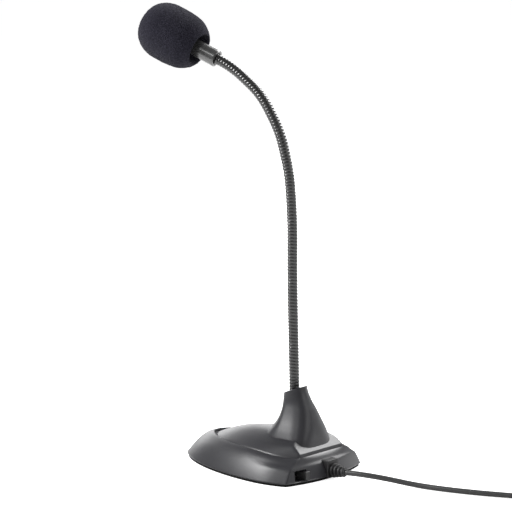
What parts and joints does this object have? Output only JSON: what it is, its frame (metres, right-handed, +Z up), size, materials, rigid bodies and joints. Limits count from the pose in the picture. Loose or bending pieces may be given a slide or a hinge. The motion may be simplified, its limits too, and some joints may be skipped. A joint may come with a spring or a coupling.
{
  "type": "gooseneck desk microphone",
  "caption": "Desk microphone: foam-covered head on a bendable gooseneck, leaf-topped weighted base with slide switch and a thin cable with jack plug.",
  "frame": {"origin": "on the table plane under the foot pad, below the mouth of the neck where the gooseneck comes out", "axes": "+Z up, -Y towards the nose of the base and the microphone head, +Y towards the cable"},
  "size_m": [0.1222, 0.2711, 0.255],
  "materials": {
    "shell": "moulded ABS, fine satin texture",
    "inner_plastic": "moulded ABS",
    "pad": "anti-slip sheet",
    "steel": "zinc plated",
    "coil": "blackened, glossy wound wire",
    "brass": "turned",
    "housing": "semi-gloss",
    "foam": "open-cell foam, reticulated",
    "felt": "felt",
    "board": "circuit board",
    "capsule": "drawn can",
    "boot": "moulded",
    "cable": "soft PVC jacket",
    "relief": "moulded soft PVC",
    "knob": "moulded",
    "phenolic": "phenolic board",
    "plug_metal": "nickel plated",
    "insulator": "moulded",
    "tie": "hook and loop strap"
  },
  "bodies": {
    "base": {"base_cover": "shell", "upper_cover": "shell", "foot_pad": "pad", "base_plate": "inner_plastic", "ballast_plate": "steel", "base_screws": "steel", "ballast_screws": "steel", "switch_shell": "steel", "switch_base": "phenolic", "switch_terminals": "brass", "switch_screws": "steel", "cable_entry": "relief", "cable_clamp": "inner_plastic", "clamp_screws": "steel", "inner_cable": "cable", "switch_lead": "cable", "neck_lead": "cable", "gooseneck_socket": "brass", "socket_washer": "steel", "socket_nut": "steel", "gooseneck_foot": "coil", "gooseneck_foot_lead": "cable", "cable_tube": "cable", "cable_coil": "cable", "coil_tie": "tie", "cable_tail": "cable", "plug_body": "relief", "plug_sleeve": "plug_metal", "plug_ring": "plug_metal", "plug_tip": "plug_metal", "plug_insulators": "insulator"},
    "link_1": {"gooseneck_1": "coil", "gooseneck_lead_1": "cable"},
    "link_2": {"gooseneck_2": "coil", "gooseneck_lead_2": "cable"},
    "link_3": {"gooseneck_3": "coil", "gooseneck_lead_3": "cable"},
    "link_4": {"gooseneck_4": "coil", "gooseneck_lead_4": "cable"},
    "link_5": {"gooseneck_5": "coil", "gooseneck_lead_5": "cable"},
    "link_6": {"gooseneck_6": "coil", "gooseneck_lead_6": "cable"},
    "head": {"gooseneck_7": "coil", "gooseneck_lead_7": "cable", "capsule_housing": "housing", "head_ferrule": "brass", "capsule_grille": "capsule", "capsule_felt": "felt", "capsule": "capsule", "capsule_boot": "boot", "capsule_board": "board", "capsule_lead": "cable"},
    "windscreen": {"windscreen": "foam"},
    "switch_knob": {"switch_knob": "knob"}
  },
  "joints": [
    {"name": "gooseneck_bend_1", "type": "hinge", "parent": "base", "child": "link_1", "pos_m": [0.00007, -0.00036, 0.0516], "axis": [0.9816, 0.1908, 0], "range_deg": [-22, 22]},
    {"name": "gooseneck_side_2", "type": "hinge", "parent": "link_1", "child": "link_2", "pos_m": [0.00024, -0.00125, 0.08858], "axis": [0.1908, -0.9814, -0.0209], "range_deg": [-20, 20]},
    {"name": "gooseneck_bend_3", "type": "hinge", "parent": "link_2", "child": "link_3", "pos_m": [0.00033, -0.00168, 0.12458], "axis": [0.9816, 0.1908, 0], "range_deg": [-22, 22]},
    {"name": "gooseneck_side_4", "type": "hinge", "parent": "link_3", "child": "link_4", "pos_m": [0.00052, -0.00266, 0.15256], "axis": [0.1904, -0.9794, -0.068], "range_deg": [-20, 20]},
    {"name": "gooseneck_bend_5", "type": "hinge", "parent": "link_4", "child": "link_5", "pos_m": [0.00125, -0.00642, 0.1762], "axis": [0.9816, 0.1908, 0], "range_deg": [-22, 22]},
    {"name": "gooseneck_side_6", "type": "hinge", "parent": "link_5", "child": "link_6", "pos_m": [0.00291, -0.01496, 0.19737], "axis": [0.1649, -0.8484, -0.503], "range_deg": [-20, 20]},
    {"name": "gooseneck_bend_7", "type": "hinge", "parent": "link_6", "child": "head", "pos_m": [0.00577, -0.02967, 0.21454], "axis": [0.9816, 0.1908, 0], "range_deg": [-22, 22]},
    {"name": "windscreen_pull", "type": "slide", "parent": "head", "child": "windscreen", "axis": [0.1756, -0.9036, 0.3907], "range_m": [0, 0.04]},
    {"name": "switch_slide", "type": "slide", "parent": "base", "child": "switch_knob", "axis": [1, 0, 0], "range_m": [0, 0.0044]}
  ]
}
